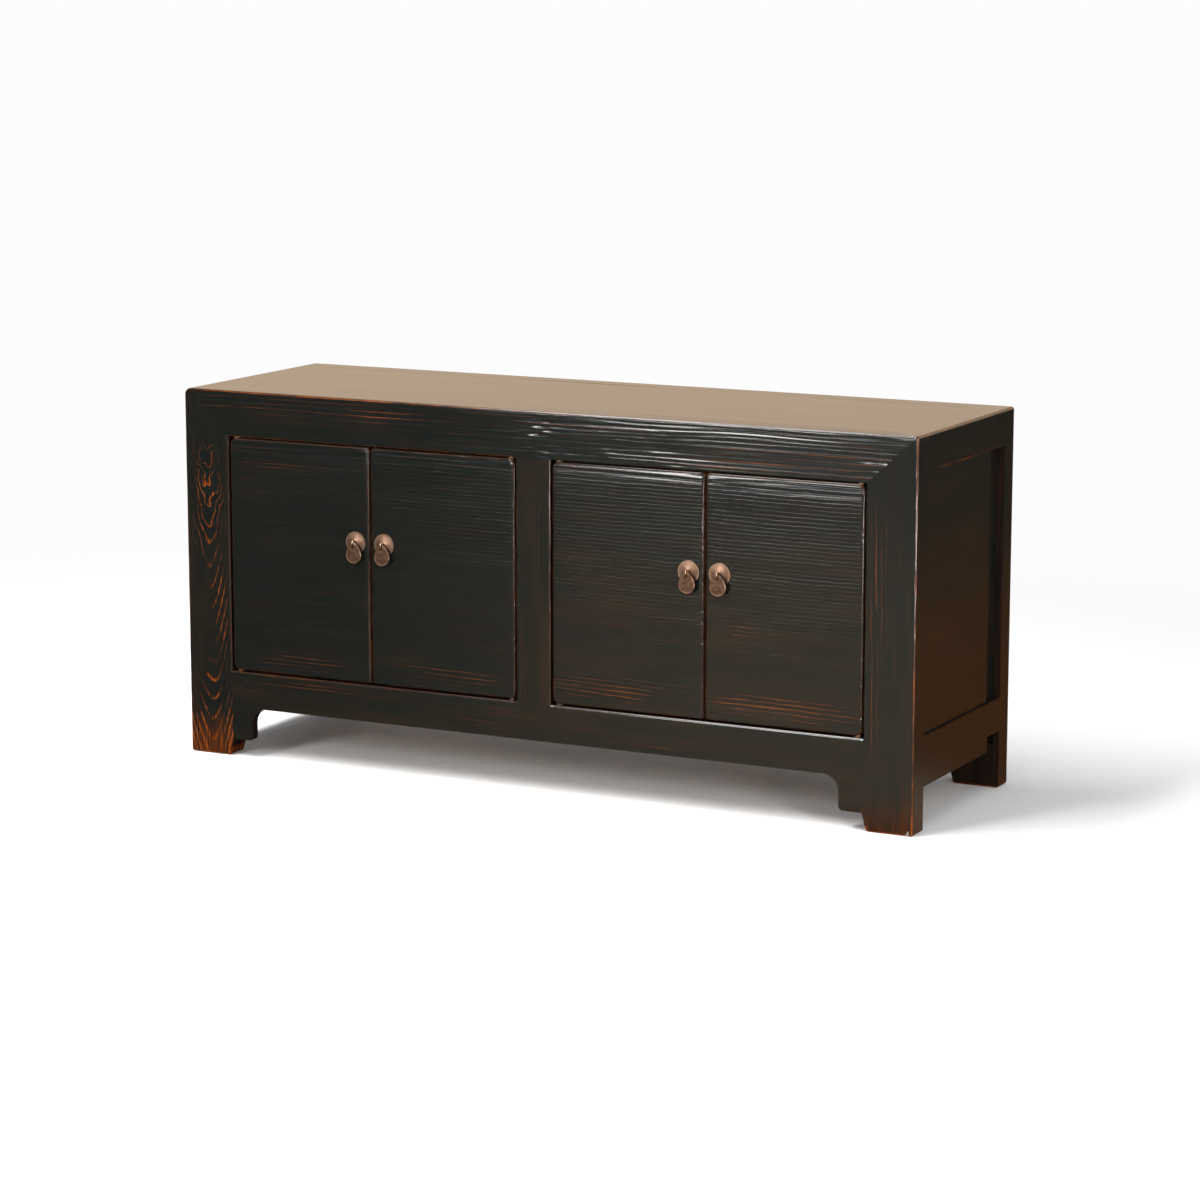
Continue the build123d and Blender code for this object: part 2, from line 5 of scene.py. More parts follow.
import bmesh
import bpy
import numpy as np
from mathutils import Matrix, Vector


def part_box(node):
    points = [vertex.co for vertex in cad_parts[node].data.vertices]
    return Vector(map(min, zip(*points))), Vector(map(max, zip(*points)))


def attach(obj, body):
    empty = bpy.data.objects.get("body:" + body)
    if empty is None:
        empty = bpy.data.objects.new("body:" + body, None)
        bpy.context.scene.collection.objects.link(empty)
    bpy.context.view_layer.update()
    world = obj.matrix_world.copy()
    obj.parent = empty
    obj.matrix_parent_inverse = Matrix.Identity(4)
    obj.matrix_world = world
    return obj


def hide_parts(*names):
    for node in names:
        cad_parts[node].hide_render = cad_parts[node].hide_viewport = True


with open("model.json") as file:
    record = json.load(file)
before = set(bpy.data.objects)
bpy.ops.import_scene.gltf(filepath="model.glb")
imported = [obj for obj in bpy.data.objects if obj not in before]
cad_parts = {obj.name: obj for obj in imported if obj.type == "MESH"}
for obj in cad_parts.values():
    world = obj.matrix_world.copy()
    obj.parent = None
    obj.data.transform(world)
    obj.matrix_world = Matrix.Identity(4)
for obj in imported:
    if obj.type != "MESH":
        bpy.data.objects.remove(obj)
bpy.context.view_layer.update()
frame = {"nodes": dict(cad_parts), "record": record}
nodes = frame["nodes"]
scene = bpy.context.scene
caseLow = Vector((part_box("front_left_post")[0].x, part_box("front_top_rail")[0].y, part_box("front_left_post")[0].z))
caseHigh = Vector((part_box("front_right_post")[1].x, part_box("back_top_rail")[1].y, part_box("front_top_rail")[1].z))
print("frame loaded:", len(nodes), "nodes")

view = {
    "place": (2.8492, -5.5055, 1.4388),
    "turn": (79.595, 0.0, 27.193),      # degrees
    "lens": 107.92,
    "sensor": 36.0,
}
cameraData = bpy.data.cameras.new("camera")
cameraData.lens = view["lens"]
cameraData.sensor_width = view["sensor"]
camera = bpy.data.objects.new("camera", cameraData)
camera.location = view["place"]
camera.rotation_euler = [math.radians(angle) for angle in view["turn"]]
scene.collection.objects.link(camera)
scene.camera = camera
scene.view_settings.view_transform = "Standard"

studio = {
    "paperSeen": (0.95, 0.95, 0.95, 1),
    "paperGlow": (0.98, 0.98, 0.98, 1),                # far from the cabinet
    "paperFades": (1.0, 2.6),                          # metres from the cabinet
    "floorMirroredLeft": (0.042, 0.037, 0.024, 1),     # painted reflection: the floor's glow that only glossy rays see, coloured by place
    "floorMirroredRight": (0.48, 0.37, 0.265, 1),
    "floorMirroredFar": (0.235, 0.225, 0.205, 1),
    "floorMirroredBehind": (0.16, 0.058, 0.013, 1),
    "floorMirroredFarBehind": (0.055, 0.042, 0.030, 1),
    # painted shade: the floor under the cabinet, darker in the reflections
    "floorMirroredPaintedShade": (0.010, 0.006, 0.004, 1),
    "backMirrored": (0.80, 0.605, 0.435, 1),           # painted reflection: the backdrop's glow that only glossy rays see, which gives the top its tone
    "backMirroredFrom": (0.45, 1.0),                   # its height
    # painted reflection: the sky that glossy rays see, darker than the lit air
    "airMirrored": (0.10, 0.10, 0.11, 1),
    "air": (0.95, 0.97, 1.0, 1),
    "airStrength": 0.42,
    "sweepFrom": 8.0,                                  # where the backdrop begins to rise
    "sweepBend": 1.6,
    "sweepCuts": 16,
    "sweepTop": 12,
    "floorFrom": -14,
    "floorAcross": (-16, 16),
    "lamps": (
        # name, place, aim, width, height, watts, colour
        ("windowLamp", (-1.2, -3.7, 1.55), (0.25, 0.0, 0.5), 0.8, 1.1, 62, (1.0, 0.98, 0.96)),
        ("overheadLamp", (-1.25, -1.8, 4.0), (-1.25, -1.8, 0.0), 1.4, 4.2, 265, (1.0, 0.98, 0.96)),
        ("endLamp", (2.2, -1.5, 0.77), (0.0, -0.2, 0.77), 0.4, 1.45, 32, (1.0, 0.97, 0.94)),
        ("softLamp", (1.6, -1.6, 4.4), (0.3, 0.0, 0.0), 2.4, 2.4, 30, (1.0, 0.98, 0.96)),
    ),
}


def join(tree, kind, inputs=(), output=0, **settings):
    node = tree.nodes.new(kind)
    for key, value in settings.items():
        setattr(node, key, value)
    for key, value in dict(inputs).items():
        if isinstance(value, bpy.types.NodeSocket):
            tree.links.new(value, node.inputs[key])
        else:
            node.inputs[key].default_value = value
    return node.outputs[output] if node.outputs else None


def calc(tree, operation, first, second=0.0, third=0.0):
    return join(tree, "ShaderNodeMath", {0: first, 1: second, 2: third}, operation=operation)


def between(tree, value, low, high, lowResult=0.0, highResult=1.0):      # smooth step
    inputs = {"Value": value, "From Min": low, "From Max": high, "To Min": lowResult, "To Max": highResult}
    return join(tree, "ShaderNodeMapRange", inputs, interpolation_type="SMOOTHSTEP")


def mixColour(tree, share, first, second):
    return join(tree, "ShaderNodeMix", {0: share, 6: first, 7: second}, output=2, data_type="RGBA")


def objectAxes(tree):
    spot = join(tree, "ShaderNodeTexCoord", output=3)
    return [join(tree, "ShaderNodeSeparateXYZ", {0: spot}, output=axis) for axis in range(3)]


def drawnNoise(tree, axes, grain, scales, shift, detail, rough):      # noise drawn out along the grain
    others = [axes[axis] for axis in range(3) if axis != grain]
    spot = join(tree, "ShaderNodeCombineXYZ", {
        0: calc(tree, "MULTIPLY_ADD", axes[grain], scales[0], shift),
        1: calc(tree, "MULTIPLY", others[0], scales[1]),
        2: calc(tree, "MULTIPLY", others[1], scales[1]),
    })
    return join(tree, "ShaderNodeTexNoise", {"Vector": spot, "Scale": 1.0, "Detail": detail, "Roughness": rough})


def fromPith(tree, others, pith):      # distance from the middle of the trunk
    first = calc(tree, "SUBTRACT", others[0], pith[0])
    second = calc(tree, "SUBTRACT", others[1], pith[1])
    return calc(tree, "SQRT", calc(tree, "MULTIPLY_ADD", first, first, calc(tree, "MULTIPLY", second, second)))


def newMaterial(name):
    material = bpy.data.materials.new(name)
    material.use_nodes = True
    tree = material.node_tree
    tree.nodes.clear()
    return material, tree


def makePaper():
    material, tree = newMaterial("stagePaper")
    path = tree.nodes.new("ShaderNodeLightPath")
    x, y, z = objectAxes(tree)
    skewed = calc(tree, "MULTIPLY_ADD", y, -0.5, x)
    # painted reflection: colours that the floor and backdrop glow with for glossy rays only, set by place
    right = mixColour(tree, between(tree, y, -3.6, -2.0), studio["floorMirroredFar"], studio["floorMirroredRight"])
    mirrored = mixColour(tree, between(tree, skewed, -0.50, 0.65), studio["floorMirroredLeft"], right)
    behind = mixColour(tree, between(tree, y, 0.8, 3.4),
                       studio["floorMirroredBehind"], studio["floorMirroredFarBehind"])
    mirrored = mixColour(tree, between(tree, y, -0.2, 0.4), mirrored, behind)
    # painted shade in the reflections where the floor lies under the cabinet
    shadeUnderX = between(tree, calc(tree, "ABSOLUTE", x), 0.60, 0.85, 1.0, 0.0)
    shadeUnderY = between(tree, calc(tree, "ABSOLUTE", y), 0.18, 0.45, 1.0, 0.0)
    mirrored = mixColour(tree, calc(tree, "MULTIPLY", shadeUnderX, shadeUnderY), mirrored, studio["floorMirroredPaintedShade"])
    mirrored = mixColour(tree, between(tree, z, *studio["backMirroredFrom"]), mirrored, studio["backMirrored"])
    paper = join(tree, "ShaderNodeBsdfDiffuse", {"Color": studio["paperSeen"]})
    spot = join(tree, "ShaderNodeTexCoord", output=3)
    away = join(tree, "ShaderNodeVectorMath", {0: spot}, output=1, operation="LENGTH")
    far = join(tree, "ShaderNodeEmission", {"Color": studio["paperGlow"]})
    seen = join(tree, "ShaderNodeMixShader", {0: between(tree, away, *studio["paperFades"]), 1: paper, 2: far})
    seen = join(tree, "ShaderNodeMixShader", {0: path.outputs["Is Camera Ray"], 1: paper, 2: seen})
    # painted reflection: the glow that glossy rays see in place of the lit paper
    paintedReflection = join(tree, "ShaderNodeEmission", {"Color": mirrored})
    lit = join(tree, "ShaderNodeMixShader", {0: path.outputs["Is Glossy Ray"], 1: seen, 2: paintedReflection})
    join(tree, "ShaderNodeOutputMaterial", {"Surface": lit})
    return material


def makeStage():
    start, bend = studio["sweepFrom"], studio["sweepBend"]
    profile = [(studio["floorFrom"], 0), (start, 0)]
    profile += [(start + bend * math.sin(turn), bend - bend * math.cos(turn))
                for turn in np.linspace(0.1, math.pi / 2, studio["sweepCuts"])]
    profile += [(start + bend, studio["sweepTop"])]
    sweep = bmesh.new()
    rows = [[sweep.verts.new((x, y, z)) for x in studio["floorAcross"]] for y, z in profile]
    for lower, upper in zip(rows, rows[1:]):
        sweep.faces.new((lower[0], lower[1], upper[1], upper[0]))
    mesh = bpy.data.meshes.new("backdrop")
    sweep.to_mesh(mesh)
    sweep.free()
    mesh.shade_smooth()
    mesh.materials.append(makePaper())
    backdrop = bpy.data.objects.new("backdrop", mesh)
    scene.collection.objects.link(backdrop)


def makeLamps():
    for name, place, aim, width, height, watts, colour in studio["lamps"]:
        lamp = bpy.data.lights.new(name, "AREA")
        lamp.shape = "RECTANGLE"
        lamp.size = width
        lamp.size_y = height
        lamp.energy = watts
        lamp.color = colour
        lampObject = bpy.data.objects.new(name, lamp)
        lampObject.location = place
        lampObject.rotation_euler = (Vector(aim) - Vector(place)).to_track_quat("-Z", "Y").to_euler()
        lampObject.visible_camera = False
        scene.collection.objects.link(lampObject)
    world = bpy.data.worlds.new("studioAir")
    world.use_nodes = True
    tree = world.node_tree
    tree.nodes.clear()
    path = tree.nodes.new("ShaderNodeLightPath")
    air = join(tree, "ShaderNodeBackground", {"Color": studio["air"], "Strength": studio["airStrength"]})
    # painted reflection: a darker sky for glossy rays only
    mirrored = join(tree, "ShaderNodeBackground", {"Color": studio["airMirrored"]})
    both = join(tree, "ShaderNodeMixShader", {0: path.outputs["Is Glossy Ray"], 1: air, 2: mirrored})
    join(tree, "ShaderNodeOutputWorld", {"Surface": both})
    scene.world = world


makeStage()
makeLamps()
print("camera, lamps and backdrop ready")


def softNoise(points, seed):      # smooth, between -1 and 1
    cell = np.floor(points).astype(np.int64)
    part = points - cell
    ease = part * part * (3 - 2 * part)
    total = np.zeros(len(points))
    for corner in itertools.product((0, 1), repeat=3):
        weight = np.prod(np.where(corner, ease, 1 - ease), axis=1)
        key = ((cell + corner) @ np.array((73856093, 19349663, 83492791)) + seed * 7919) & 0x7FFFFFFF
        key = ((key ^ (key >> 13)) * 1274126177) & 0x7FFFFFFF
        total += weight * (((key ^ (key >> 15)) & 0xFFFF) / 32767.5 - 1)
    return total


def smooth(value, low, high):
    share = np.clip((value - low) / (high - low), 0, 1)
    return share * share * (3 - 2 * share)


def nearness(points, zones):      # sum of soft spots, each a middle, a reach on each axis (0 for any) and a strength
    total = np.zeros(len(points))
    for middle, reach, strength in zones:
        spread = np.zeros(len(points))
        for axis in range(3):
            if reach[axis]:
                spread += ((points[:, axis] - middle[axis]) / reach[axis]) ** 2
        total += strength * np.exp(-spread)
    return total


relief = {
    "alongStep": 0.010,       # distance between cuts along the grain
    "acrossStep": 0.0019,
    "sharpFrom": 50,          # degrees
    "sameFace": 0.2,          # degrees
    "samePoint": 2e-6,
    "longEdge": 0.015,        # no cut runs close beside an edge longer than this
    "borderGap": 0.4,         # part of a step that counts as close
    "sideReach": 0.012,       # how near the case's side a piece has to come to show there
    "faceReach": 0.014,       # and a face of it
    "leastFacing": 0.02,
    "arrisFrom": (0.02, 0.25),
    "levelFrom": (0.6, 0.95),
    "wave": 0.00045,          # hand-planed waves
    "ridge": 0.00080,         # raised grain
    "ridgeSpacing": 0.0074,
    "dent": 0.0011,
    "arrisWander": 0.0011,    # worn edges
    "arrisSpecks": 0.0009,
    "calmTop": 0.93,          # the top is smoother than the front
    "calmEnds": 0.80,
}

lacquer = {
    "cool": (0.0048, 0.0068, 0.0060, 1),
    "warm": (0.0160, 0.0102, 0.0058, 1),
    "ground": (0.055, 0.0140, 0.0030, 1),    # red-brown under the black
    "bare": (0.200, 0.042, 0.0015, 1),       # rubbed to the wood
    "faded": (0.075, 0.050, 0.030, 1),       # soft streaks on the top
    "pale": (0.28, 0.078, 0.0060, 1),
    "stain": (0.0040, 0.0028, 0.0020, 1),
    "ringSpacing": 0.0066,
    "roughness": (0.13, 0.27),
    "rubbedRoughness": 0.03,      # more where it is rubbed through
    "ringHeight": 0.00010,
    "fibreHeight": 0.00013,
    "mostRubbed": 1.3,
}


def meshOf(title, shape, sharpFrom):      # a mesh with its own normals: smooth, but for the edges that turn sharply
    for edge in shape.edges:
        edge.smooth = len(edge.link_faces) == 2 and edge.calc_face_angle() < math.radians(sharpFrom)
    mesh = bpy.data.meshes.new(title)
    shape.to_mesh(mesh)
    shape.free()
    if "custom_normal" in mesh.attributes:
        mesh.attributes.remove(mesh.attributes["custom_normal"])
    mesh.shade_smooth()
    return mesh


def outwardSides(name):
    low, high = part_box(name)
    sides = []
    for axis in range(3):
        for sign, gap in ((-1, low[axis] - caseLow[axis]), (1, caseHigh[axis] - high[axis])):
            if gap < relief["sideReach"]:
                sides.append((axis, sign))
    return sides


def withCorners(faces):      # faces, their edges and their corners
    edges = {edge for face in faces for edge in face.edges}
    corners = {corner for face in faces for corner in face.verts}
    return [*faces, *edges, *corners]


def cutAcross(shape, cutting, axis, middles):
    across = Vector([float(index == axis) for index in range(3)])
    for middle in middles:
        cut = bmesh.ops.bisect_plane(shape, geom=cutting, dist=1e-7, plane_co=middle, plane_no=across)
        cutting = cut["geom"]
    return cutting


def longBorders(faces):      # where long straight edges lie on each axis
    borders = [set(), set(), set()]
    for edge in {edge for face in faces for edge in face.edges if edge.calc_length() > relief["longEdge"]}:
        first, second = (corner.co for corner in edge.verts)
        for axis in range(3):
            if abs(first[axis] - second[axis]) < 1e-6:
                borders[axis].add(round(first[axis], 6))
    return borders


def gridCopy(name, grain, look):      # the node's mesh with a fine grid on the sides that show
    low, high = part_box(name)
    sides = outwardSides(name)
    grid = bmesh.new()
    grid.from_mesh(nodes[name].data)
    bmesh.ops.remove_doubles(grid, verts=grid.verts, dist=relief["samePoint"])
    bmesh.ops.dissolve_limit(grid, angle_limit=math.radians(relief["sameFace"]), verts=grid.verts, edges=grid.edges)
    shown = [face for face in grid.faces if any(
        face.normal[axis] * sign > relief["leastFacing"]
        and abs(face.calc_center_median()[axis] - (caseLow, caseHigh)[sign > 0][axis]) < relief["faceReach"]
        for axis, sign in sides)]
    cutting = withCorners(shown)
    borders = longBorders(shown)
    for axis in range(3):
        if all(side[0] == axis for side in sides):
            continue      # thickness
        step = relief["alongStep"] if axis == grain else relief["acrossStep"] * look["fineness"]
        count = int((high[axis] - low[axis]) / step)
        middles = []
        for index in range(1, count):
            place = low[axis] + (high[axis] - low[axis]) * index / count
            if not any(abs(place - border) < step * relief["borderGap"] for border in borders[axis]):
                middle = Vector(low)
                middle[axis] = place
                middles.append(middle)
        cutting = cutAcross(grid, cutting, axis, middles)
    return meshOf(name + "_worn", grid, relief["sharpFrom"]), sides


def readMesh(mesh, sides):      # points, outward normals and whether a point is on a side that shows
    count = len(mesh.vertices)
    points = np.empty(count * 3)
    mesh.vertices.foreach_get("co", points)
    faceNormals = np.empty(len(mesh.polygons) * 3)
    mesh.polygons.foreach_get("normal", faceNormals)
    areas = np.empty(len(mesh.polygons))
    mesh.polygons.foreach_get("area", areas)
    sizes = np.empty(len(mesh.polygons), int)
    mesh.polygons.foreach_get("loop_total", sizes)
    corners = np.empty(len(mesh.loops), int)
    mesh.loops.foreach_get("vertex_index", corners)
    points = points.reshape(-1, 3)
    faceNormals = faceNormals.reshape(-1, 3)
    middles = np.empty(len(mesh.polygons) * 3)
    mesh.polygons.foreach_get("center", middles)
    middles = middles.reshape(-1, 3)
    shown = np.zeros(len(mesh.polygons), bool)
    for axis, sign in sides:
        near = np.abs(middles[:, axis] - (caseLow, caseHigh)[sign > 0][axis]) < relief["faceReach"]
        shown |= (faceNormals[:, axis] * sign > relief["leastFacing"]) & near
    weights = np.repeat(areas * shown + 1e-12, sizes)[:, None]
    normals = np.zeros((count, 3))
    np.add.at(normals, corners, np.repeat(faceNormals, sizes, axis=0) * weights)
    normals /= np.linalg.norm(normals, axis=1)[:, None] + 1e-12
    touched = np.zeros(count, bool)
    touched[corners[np.repeat(shown, sizes)]] = True
    mesh.polygons.foreach_set("material_index", (~shown).astype(np.int32))
    rims = np.empty(len(mesh.loops), int)      # a sharp edge wherever a hidden face begins
    mesh.loops.foreach_get("edge_index", rims)
    beside = np.zeros((2, len(mesh.edges)), bool)
    beside[np.repeat(shown, sizes).astype(int), rims] = True
    sharp = np.empty(len(mesh.edges), bool)
    mesh.edges.foreach_get("use_edge_sharp", sharp)
    mesh.edges.foreach_set("use_edge_sharp", sharp | beside.all(axis=0))
    return points, normals, touched


def wearPiece(name, grain, look):
    mesh, sides = gridCopy(name, grain, look)
    points, normals, touched = readMesh(mesh, sides)
    others = [axis for axis in range(3) if axis != grain]

    def noiseAt(along, across, seed):
        scaled = np.empty_like(points)
        scaled[:, grain] = points[:, grain] * along + 31.7
        scaled[:, others] = points[:, others] * across + 17.3
        return softNoise(scaled, seed)

    seed = look["seed"] * 20
    arris = smooth(1 - np.abs(normals).max(axis=1), *relief["arrisFrom"])
    level = smooth(normals[:, 2], *relief["levelFrom"])
    wave = softNoise(points * 7 + 9.1, 1) * 0.5 + noiseAt(7, 40, seed) * 0.2 + 0.7
    across = np.where(np.abs(normals[:, others[0]]) > 0.7, points[:, others[1]], points[:, others[0]])
    turns = across / relief["ridgeSpacing"] + 1.3 * noiseAt(0.9, 12, seed + 1) + 0.55 * noiseAt(6, 50, seed + 2)
    ridges = 0.5 + 0.34 * np.sin(2 * math.pi * turns) + 0.34 * noiseAt(5, 280, seed + 9)
    ridges = np.clip(ridges, 0, 1)
    ridges = ridges ** 0.7 * smooth(noiseAt(6, 70, seed + 3), -1.0, 0.3)
    zone = (look["ridges"] + nearness(points, look["ridgeZones"])) * (1 - 0.8 * arris)
    rubbed = nearness(points, look["zones"])
    dented = look["dents"] * smooth(noiseAt(6, 10, seed + 5), 0.2, 0.7) + nearness(points, look["dentZones"])
    dents = smooth(noiseAt(90, 140, seed + 4), 0.40, 0.85) * dented
    specks = smooth(noiseAt(70, 150, seed + 6), 0.25, 0.8)
    wander = np.clip(noiseAt(24, 24, seed + 7) * 0.8, 0, 1)
    calm = 1 - relief["calmTop"] * level
    calm *= 1 - relief["calmEnds"] * smooth(np.abs(normals[:, 0]), *relief["levelFrom"])
    depth = calm * (relief["wave"] * wave + relief["ridge"] * zone * (1 - ridges) + relief["dent"] * dents)
    depth += arris * look["wander"] * (relief["arrisWander"] * wander + relief["arrisSpecks"] * specks)
    if look["crown"]:
        top = points[:, 2].max()
        crown = smooth(points[:, 2], top - look["crownReach"], top + look["crownReach"] * 0.3)
        crown *= smooth(points[:, 0], *look["crownFrom"])
        ripple = np.sin(2 * math.pi * (points[:, 2] / 0.011 + 1.2 * noiseAt(3, 12, seed + 8)))
        depth += smooth(-normals[:, 1], 0.2, 0.8) * crown * (look["crown"] + look["crownRipple"] * (1 + ripple))
    depth = np.where(touched, np.clip(depth, 0, None), 0)
    mesh.vertices.foreach_set("co", (points - normals * depth[:, None]).astype(np.float32).ravel())
    upward = 1 - look["edgesUp"] * (1 - smooth(normals[:, 2], 0.55, 0.78)) * smooth(points[:, 0], -0.1, 0.1)
    edges = arris * touched * upward * (look["edges"] + nearness(points, look["edgeZones"]))
    marks = {
        "arris": edges + nearness(points, look["lines"]),
        "rubbed": rubbed,
        "ridge": ridges * np.clip(zone, 0, 1),
        "stained": nearness(points, look["stains"]),
        "dull": nearness(points, look["dullZones"]) * (1 - arris),
        "calm": level,
    }
    for title, values in marks.items():
        mesh.attributes.new(title, "FLOAT", "POINT").data.foreach_set("value", values.astype(np.float32))
    piece = bpy.data.objects.new(name + "_worn", mesh)
    scene.collection.objects.link(piece)
    return piece


def growthRings(tree, axes, grain, look, streaky, fibre):      # 1 on the late growth of each ring
    others = [axes[axis] for axis in range(3) if axis != grain]
    distance = fromPith(tree, others, look["pith"])
    distance = calc(tree, "MULTIPLY_ADD", axes[grain], look["taper"], distance)
    distance = calc(tree, "MULTIPLY_ADD", streaky(1.7, 9.0, 0.0), look["wobble"], distance)
    distance = calc(tree, "MULTIPLY_ADD", fibre, 0.0010, distance)
    for middle, reach, swell in look["knots"]:      # rings bent round a spot
        spread = 0.0
        for axis in range(3):
            if reach[axis]:
                offset = calc(tree, "MULTIPLY_ADD", axes[axis], 1 / reach[axis], -middle[axis] / reach[axis])
                spread = calc(tree, "MULTIPLY_ADD", offset, offset, spread)
        bend = calc(tree, "EXPONENT", calc(tree, "MULTIPLY", spread, -1.0))
        distance = calc(tree, "MULTIPLY_ADD", bend, swell, distance)
    low, high, size = look["quiver"]
    quiver = calc(tree, "SUBTRACT", streaky(26.0, 34.0, 2.6), 0.5)
    quiver = calc(tree, "MULTIPLY", quiver, between(tree, axes[grain], low, high))
    distance = calc(tree, "MULTIPLY_ADD", quiver, size, distance)
    phase = calc(tree, "FRACT", calc(tree, "DIVIDE", distance, lacquer["ringSpacing"] * look["rings"]))
    return calc(tree, "MULTIPLY", between(tree, phase, 0.63, 0.92), between(tree, phase, 0.93, 0.995, 1.0, 0.0))


def mark(tree, title):      # what wearPiece left at the points
    return join(tree, "ShaderNodeAttribute", output=2, attribute_name=title)


def rubbedThrough(tree, height, look, streaky, fibre, patch, ring):      # 0 lacquer, about 1 bare wood
    rubbed = calc(tree, "MULTIPLY", mark(tree, "rubbed"), between(tree, patch, 0.34, 0.60, 0.15, 1.0))
    reach = calc(tree, "MULTIPLY_ADD", between(tree, patch, 0.54, 0.74), look["streaks"], rubbed)
    streak = calc(tree, "MULTIPLY", calc(tree, "MULTIPLY", ring, reach), between(tree, fibre, 0.38, 0.60, 0.35, 1.0))
    ridgeRub = calc(tree, "MULTIPLY", between(tree, mark(tree, "ridge"), 0.55, 0.95),
                    between(tree, patch, 0.42, 0.7, 0.0, look["ridgeRub"]))
    edgeNoise = streaky(20.0, 20.0, 5.0, 4.0, 0.65)
    edgeRub = calc(tree, "MULTIPLY", mark(tree, "arris"), between(tree, edgeNoise, 0.36, 0.66, 0.35, 1.0))
    footHeight = calc(tree, "MULTIPLY_ADD", edgeNoise, 0.05, height)
    footRub = calc(tree, "MULTIPLY", between(tree, footHeight, 0.022, look["footTop"], look["foot"], 0.0),
                   between(tree, fibre, 0.35, 0.6, 0.4, 1.0))
    rub = calc(tree, "ADD", calc(tree, "ADD", streak, ridgeRub), calc(tree, "ADD", edgeRub, footRub))
    return calc(tree, "MINIMUM", rub, lacquer["mostRubbed"])


def makeLacquer(name, grain, look):
    material, tree = newMaterial(name)
    axes = objectAxes(tree)

    def streaky(alongScale, acrossScale, shift, detail=2.0, rough=0.5):
        shift += look["seed"] * 1.37
        return drawnNoise(tree, axes, grain, (alongScale, acrossScale), shift, detail, rough)

    fibre = streaky(8.0, 380.0, 3.1, 3.0, 0.6)
    patch = streaky(3.5, 26.0, 7.7, 4.0, 0.65)
    cloud = streaky(2.2, 5.0, 11.3)
    calm = mark(tree, "calm")
    ring = growthRings(tree, axes, grain, look, streaky, fibre)
    rub = rubbedThrough(tree, axes[2], look, streaky, fibre, patch, ring)

    smudge = calc(tree, "MULTIPLY_ADD", streaky(4.0, 30.0, 9.4, 3.0, 0.6), 0.5, calc(tree, "MULTIPLY", cloud, 0.6))
    warmth = between(tree, calc(tree, "ADD", smudge, look["warmth"] - 0.55), 0.32, 0.68)
    colour = mixColour(tree, warmth, lacquer["cool"], lacquer["warm"])
    through = calc(tree, "MULTIPLY", between(tree, fibre, 0.45, 0.7), calc(tree, "MULTIPLY_ADD", ring, 0.30, 0.10))
    colour = mixColour(tree, through, colour, lacquer["ground"])
    colour = mixColour(tree, between(tree, rub, 0.03, 0.40), colour, lacquer["ground"])
    colour = mixColour(tree, between(tree, rub, 0.28, 0.75), colour, lacquer["bare"])
    colour = mixColour(tree, between(tree, rub, 0.80, lacquer["mostRubbed"]), colour, lacquer["pale"])
    faded = calc(tree, "MULTIPLY", between(tree, streaky(1.4, 75.0, 21.0, 4.0, 0.6), 0.36, 0.68), calm)
    colour = mixColour(tree, calc(tree, "MULTIPLY", faded, 0.6), colour, lacquer["faded"])
    stain = calc(tree, "MULTIPLY", mark(tree, "stained"), calc(tree, "ADD", fibre, 0.5))
    stained = between(tree, stain, 0.3, 0.8)
    colour = mixColour(tree, stained, colour, lacquer["stain"])

    evenness = calc(tree, "MULTIPLY", calc(tree, "SUBTRACT", 0.45, patch), calc(tree, "MULTIPLY", calm, 0.8))
    dullness = calc(tree, "MULTIPLY_ADD", stained, 0.9, calc(tree, "ADD", patch, evenness))
    roughness = between(tree, dullness, 0.3, 0.9, *lacquer["roughness"])
    roughness = calc(tree, "ADD", roughness, mark(tree, "dull"))
    roughness = calc(tree, "MULTIPLY_ADD", rub, lacquer["rubbedRoughness"], roughness)
    height = calc(tree, "MULTIPLY", fibre, lacquer["fibreHeight"])
    height = calc(tree, "MULTIPLY_ADD", ring, lacquer["ringHeight"], height)
    height = calc(tree, "MULTIPLY", height, calc(tree, "MULTIPLY_ADD", calm, -0.70, 1.0))
    bump = join(tree, "ShaderNodeBump", {"Height": height, "Distance": 1.0, "Strength": look["bump"]})
    surface = join(tree, "ShaderNodeBsdfPrincipled", {
        "Base Color": colour, "Roughness": roughness, "Normal": bump,
        "IOR": 1.5, "Coat Weight": 0.25, "Coat Roughness": 0.12,
    })
    join(tree, "ShaderNodeOutputMaterial", {"Surface": surface})
    return material


plainLook = {
    "taper": 0.010,       # how fast a growth ring leaves the face, along the grain
    "wobble": 0.016,      # metres that the rings wander
    "rings": 1.0,         # ring spacing against the usual one
    "warmth": 0.4,
    "streaks": 0.35,      # rubbed lines in patches
    "zones": (),          # rubbed places
    "knots": (),
    "ridges": 0.12,
    "ridgeZones": (),
    "ridgeRub": 0.3,
    "edges": 0.45,
    "edgeZones": (),
    "edgesUp": 0.0,           # how far the rubbing keeps to the upper side of an edge, on the right half
    "lines": (),              # rubbed through along a line
    "wander": 1.0,            # how unevenly the edges are worn
    "foot": 0.4,
    "footTop": 0.065,         # how high the foot is rubbed
    "stains": (),
    "dullZones": (),          # less polished
    "dents": 0.3,
    "dentZones": (),
    "quiver": (-9.0, -8.0, 0.003),    # from, to along the grain, and metres that the rings tremble
    "crown": 0.0,             # metres that the upper edge is planed back
    "crownReach": 0.036,
    "crownRipple": 0.00035,
    "crownFrom": (-9.0, -8.0),
    "fineness": 1.0,          # grid step against the usual one
    "bump": 0.6,
}

